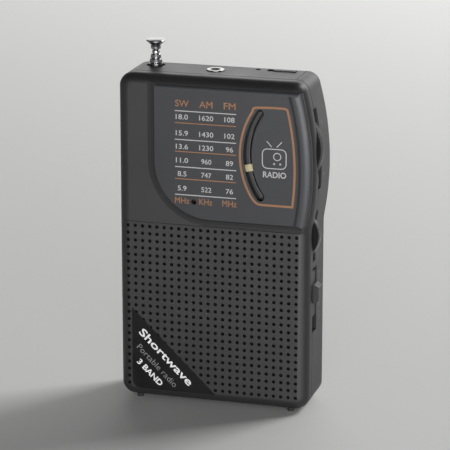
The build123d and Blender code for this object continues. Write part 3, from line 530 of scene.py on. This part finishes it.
class Print:
    """Flat ink shapes gathered in one mesh: x right, y up, before placing."""

    def __init__(self):
        self.bm = bmesh.new()

    def word(self, word, x, z, width, height, bold=0.0, turn=0.0):
        """A word with its left foot at x, z, stretched to width and height."""
        mesh = text_mesh(word, bold)
        xs = [v.co.x for v in mesh.vertices]
        ys = [v.co.y for v in mesh.vertices]
        low = Vector((min(xs), min(ys), 0))
        size = Vector((max(xs), max(ys), 0)) - low
        fit = Matrix.Diagonal((width / size.x, height / size.y, 1, 1)) @ Matrix.Translation(-low)
        mesh.transform(Matrix.Translation((x, z, 0)) @ Matrix.Rotation(radians(turn), 4, "Z") @ fit)
        self.bm.from_mesh(mesh)
        bpy.data.meshes.remove(mesh)

    def ribbon(self, points, width, closed=False):
        """A line of even width along points, with mitred corners."""
        count = len(points)
        sides = []
        for i, point in enumerate(points):
            here = Vector(point)
            before = Vector(points[(i - 1) % count]) if closed or i else None
            after = Vector(points[(i + 1) % count]) if closed or i < count - 1 else None
            ways = []
            if before is not None:
                ways.append((here - before).normalized())
            if after is not None:
                ways.append((after - here).normalized())
            way = sum(ways, Vector((0, 0))).normalized()
            side = Vector((-way.y, way.x))
            half = width / 2 / max(RIBBON_MITRE, side.dot(Vector((-ways[0].y, ways[0].x))))
            sides.append((here + side * half, here - side * half))
        verts = [(self.bm.verts.new((*a, 0)), self.bm.verts.new((*b, 0))) for a, b in sides]
        for i in range(count if closed else count - 1):
            a, b = verts[i]
            c, d = verts[(i + 1) % count]
            self.bm.faces.new((a, b, d, c))

    def disc(self, x, z, radius):
        self.bm.faces.new([self.bm.verts.new((*p, 0)) for p in arc(x, z, radius, 0, 342, 19)])

    def arrow(self, x, z, radius, turn):
        """A small solid triangle that points along turn, in degrees."""
        self.bm.faces.new([self.bm.verts.new((*p, 0)) for p in arc(x, z, radius, turn, turn + 240, 2)])

    def finish(self, name, place, material, body):
        """Gives the ink its thickness and lays it on the case with place(x, z, lift)."""
        bm = self.bm
        bmesh.ops.remove_doubles(bm, verts=bm.verts, dist=WELD)
        bmesh.ops.recalc_face_normals(bm, faces=bm.faces)
        for face in bm.faces:
            if face.normal.z < 0:
                face.normal_flip()
        flat = list(bm.verts)
        made = bmesh.ops.extrude_face_region(bm, geom=list(bm.faces))
        lifted = {v for v in made["geom"] if isinstance(v, bmesh.types.BMVert)}
        for v in flat:
            v.co = place(v.co.x, v.co.y, -INK_ROOT)
        for v in lifted:
            v.co = place(v.co.x, v.co.y, INK)
        bmesh.ops.recalc_face_normals(bm, faces=bm.faces)
        mesh = bpy.data.meshes.new(name)
        bm.to_mesh(mesh)
        bm.free()
        return add_piece(name, mesh, material, body)


def on_panel(x, z, lift):
    return at(x, PANEL_Y - lift, z)


def on_label(x, z, lift):
    return at(x, LABEL_Y - lift, z)


def on_top(x, y, lift):
    return at(x, y, CASE_TOP + lift)


def on_side(y, z, lift):
    edge = CASE_RIGHT
    if z > SIDE_STRAIGHT:
        edge = BULGE_X + sqrt(BULGE_R ** 2 - (z - BULGE_Z) ** 2)
    return at(edge + lift, y, z)


def arc(x, z, radius, start, end, steps):
    """Points round a circle between two angles in degrees."""
    turns = [radians(start + (end - start) * i / steps) for i in range(steps + 1)]
    return [(x + radius * cos(a), z + radius * sin(a)) for a in turns]


def rounded(points, radius, steps):
    """A closed outline with every corner rounded in the same way."""
    made = []
    count = len(points)
    for i in range(count):
        here, before, after = (Vector(points[j % count]) for j in (i, i - 1, i + 1))
        a = here + (before - here).normalized() * radius
        b = here + (after - here).normalized() * radius
        for k in range(steps + 1):
            t = k / steps
            made.append(tuple(a * (1 - t) ** 2 + here * 2 * t * (1 - t) + b * t * t))
    return made


# ---- dial print -----------------------------------------------------------
# Columns, rows and lines are given before the shift of the whole printed dial.
SHIFT_X = 0.26
SHIFT_Z = 0.29
COLUMNS = (-11.1, -2.2, 6.25)
NUMBER_ROWS = (105.2, 99.35, 94.5, 89.55, 84.65, 79.4)
NUMBERS = (
    ("18.0", "15.9", "13.6", "11.0", "8.5", "5.9"),
    ("1620", "1430", "1230", "960", "747", "522"),
    ("108", "102", "96", "89", "82", "76"),
)
PLAIN_WIDTH = {4: 5.15, 3: 3.7, 2: 2.65}
POINT_WIDTH = {4: 4.5, 3: 3.25}
DIGIT_HEIGHT = 1.85
LINE_LEFT = -13.7
LINE_RIGHT = 8.66
LINE_WIDTH = 0.34
DIAL_BOLD = 0.012
BAND_FOOT = 108.85
BAND_HEIGHT = 2.4
UNIT_FOOT = 73.85
UNIT_HEIGHT = 2.23
WHITE_LINES = (107.3, 97.0, 87.15, 77.05)
ORANGE_LINES = (103.0, 92.7, 82.8)


def width_of(word):
    """Numbers with as many signs share one width, narrower where one is a point."""
    return (POINT_WIDTH if "." in word else PLAIN_WIDTH)[len(word)]


def dial_line(sheet, z):
    """One rule across the three columns."""
    ends = [(LINE_LEFT + SHIFT_X, z + SHIFT_Z), (LINE_RIGHT + SHIFT_X, z + SHIFT_Z)]
    sheet.ribbon(ends, LINE_WIDTH)


def dial_numbers():
    """White frequency numbers and the white rules between them."""
    sheet = Print()
    for column, words in zip(COLUMNS, NUMBERS):
        for row, word in zip(NUMBER_ROWS, words):
            width = width_of(word)
            x = column - width / 2 + SHIFT_X
            z = row - DIGIT_HEIGHT / 2 + SHIFT_Z
            sheet.word(word, x, z, width, DIGIT_HEIGHT, DIAL_BOLD)
    for z in WHITE_LINES:
        dial_line(sheet, z)
    sheet.finish("dial_numbers", on_panel, WHITE_INK, "case")


def dial_bands():
    """Orange band names, units and rules."""
    sheet = Print()
    for word, left, right in (("SW", -13.55, -8.52), ("AM", -4.75, 0.11), ("FM", 4.13, 8.48)):
        sheet.word(word, left + SHIFT_X, BAND_FOOT + SHIFT_Z, right - left, BAND_HEIGHT, DIAL_BOLD)
    for word, left, right in (("MHz", -13.77, -8.46), ("KHz", -4.8, -0.02), ("MHz", 3.62, 8.86)):
        sheet.word(word, left + SHIFT_X, UNIT_FOOT + SHIFT_Z, right - left, UNIT_HEIGHT, DIAL_BOLD)
    for z in ORANGE_LINES:
        dial_line(sheet, z)
    sheet.finish("dial_bands", on_panel, ORANGE_INK, "case")


OUTLINE_WIDTH = 0.78


def window_outline():
    """Orange frame round the pointer window and the mark beside it."""
    left = arc(39.95, 93.35, 29.67, 148.0, 210.2, 30)
    low_left = [(15.2, 77.25), (15.75, 76.65), (16.4, 76.15), (17.3, 75.85), (18.4, 75.76)]
    right = arc(-64.39, 87.71, 94.41, -7.27, 13.4, 24)
    top = [(27.2, 110.3), (26.75, 110.62), (26.2, 110.74), (22.65, 110.8)]
    top_left = [(19.1, 110.68), (15.9, 110.5), (15.2, 110.2), (14.9, 109.75)]
    sheet = Print()
    sheet.ribbon(left + low_left + right + top + top_left, OUTLINE_WIDTH, closed=True)
    sheet.finish("window_outline", on_panel, ORANGE_INK, "case")


MARK_LINE = 0.34
MARK_THIN_LINE = 0.32
MARK_DOT = 0.36


def radio_mark():
    """A plain little receiver drawn in outline, with the word under it."""
    sheet = Print()
    body = rounded([(18.4, 96.1), (26.95, 96.1), (26.95, 89.15), (18.4, 89.15)], 2.0, 8)
    sheet.ribbon(body, MARK_LINE, closed=True)
    sheet.ribbon(arc(23.75, 93.45, 1.3, 0, 345, 23), MARK_THIN_LINE, closed=True)
    for x in (22.65, 24.85):
        sheet.disc(x, 90.85, MARK_DOT)
    for tip_x, foot_x in ((20.0, 21.75), (25.4, 23.6)):
        sheet.ribbon([(tip_x, 98.8), (foot_x, 96.9)], MARK_THIN_LINE)
    sheet.word("RADIO", 18.64, 85.8, 8.38, 2.2, 0.02)
    sheet.finish("radio_mark", on_panel, WHITE_INK, "case")


# ---- other print ----------------------------------------------------------
def label_print():
    """Generic words on the corner label: two bright lines and a thin grey one."""
    sheet = Print()
    sheet.word("Shortwave", -27.94, 24.27, 26.6, 2.96, 0.02, -44.8)
    sheet.word("3 BAND", -28.7, 13.0, 12.2, 2.26, 0.03, -44.3)
    sheet.finish("label_print", on_label, LABEL_INK, "case")
    sheet = Print()
    sheet.word("Portable radio", -28.66, 18.62, 19.9, 2.2, -0.008, -44.9)
    sheet.finish("label_small_print", on_label, GREY_INK, "case")


def top_print():
    """Worn words beside the power knob and in front of the headphone ring."""
    sheet = Print()
    sheet.word("OFF", 14.9, 12.3, 3.2, 1.4)
    sheet.word("ON", 21.9, 12.3, 2.6, 1.4)
    sheet.word("PHONES", -4.6, 6.3, 5.0, 1.2)
    sheet.finish("top_print", on_top, FAINT_INK, "case")


def side_print():
    """Worn words and arrows beside the two wheels and the band knob."""
    sheet = Print()
    for word, y, z, length in (("VOL", 13.6, 56.0, 2.6), ("BAND", 15.2, 49.0, 3.9),
                               ("AM", 15.3, 37.9, 2.5), ("FM", 15.5, 33.0, 2.5)):
        sheet.word(word, y, z, length, 1.1, 0.0, -90)
    sheet.arrow(13.4, 103.7, 0.75, 90)
    sheet.arrow(13.2, 84.9, 0.75, -90)
    sheet.arrow(14.6, 67.6, 0.7, 90)
    sheet.finish("side_print", on_side, FAINT_INK, "case")


dial_numbers()
dial_bands()
window_outline()
radio_mark()
label_print()
top_print()
side_print()


# ---- floor, light and camera ----------------------------------------------
FLOOR_REACH = 6.0


def floor():
    """A plain pale floor, wide enough to fill the view."""
    mesh = bpy.data.meshes.new("floor")
    corners = [(x * FLOOR_REACH, y * FLOOR_REACH, 0) for x, y in ((-1, -1), (1, -1), (1, 1), (-1, 1))]
    mesh.from_pydata(corners, [], [(0, 1, 2, 3)])
    plane = bpy.data.objects.new("floor", mesh)
    SCENE.collection.objects.link(plane)
    s = Surface("floor_look", (0.74, 0.74, 0.73), 0.7)
    mesh.materials.append(s.material)


def aim(thing, target):
    way = Vector(target) - thing.location
    thing.rotation_euler = way.to_track_quat("-Z", "Y").to_euler()


def soft_box(name, place, target, width, height, power):
    """A studio soft box, hidden from the camera itself."""
    light = bpy.data.lights.new(name, "AREA")
    light.shape = "RECTANGLE"
    light.size = width
    light.size_y = height
    light.energy = power
    lamp = bpy.data.objects.new(name, light)
    SCENE.collection.objects.link(lamp)
    lamp.visible_camera = False
    lamp.location = place
    aim(lamp, target)


floor()
MIDDLE = (0, 0, 0.06)
soft_box("front", (0.42, -1.25, 0.09), MIDDLE, 1.1, 0.18, 19)
soft_box("back", (0.0, 1.5, 0.55), MIDDLE, 2.0, 0.9, 10)
soft_box("side", (1.1, 1.2, 1.3), (0.25, 0.6, 0), 0.8, 0.8, 26)

HORIZON_LIGHT = 0.35
OVERHEAD_LIGHT = 0.05
OVERHEAD_FROM = 0.7


def studio_walls():
    """White surroundings, lighter at the horizon than overhead."""
    world = bpy.data.worlds.new("studio")
    SCENE.world = world
    world.use_nodes = True
    sky = world.node_tree
    way = sky.nodes.new("ShaderNodeTexCoord")
    split = sky.nodes.new("ShaderNodeSeparateXYZ")
    fade = sky.nodes.new("ShaderNodeMapRange")
    sky.links.new(way.outputs["Generated"], split.inputs[0])
    sky.links.new(split.outputs["Z"], fade.inputs["Value"])
    for name, value in (("From Min", 0.0), ("From Max", OVERHEAD_FROM),
                        ("To Min", HORIZON_LIGHT), ("To Max", OVERHEAD_LIGHT)):
        fade.inputs[name].default_value = value
    sky.links.new(fade.outputs["Result"], sky.nodes["Background"].inputs["Strength"])
    sky.nodes["Background"].inputs["Color"].default_value = (1.0, 1.0, 1.0, 1)


CAMERA_PLACE = (0.23426, -0.80906, 0.30310)
CAMERA_TURN = (74.204, -0.018, 16.162)
CAMERA_LENS = 196.0


def add_camera():
    data = bpy.data.cameras.new("camera")
    data.sensor_width = 36
    data.lens = CAMERA_LENS
    data.clip_end = 30
    camera = bpy.data.objects.new("camera", data)
    SCENE.collection.objects.link(camera)
    camera.location = CAMERA_PLACE
    camera.rotation_euler = [radians(turn) for turn in CAMERA_TURN]
    SCENE.camera = camera


studio_walls()
add_camera()
SCENE.view_settings.view_transform = "Standard"
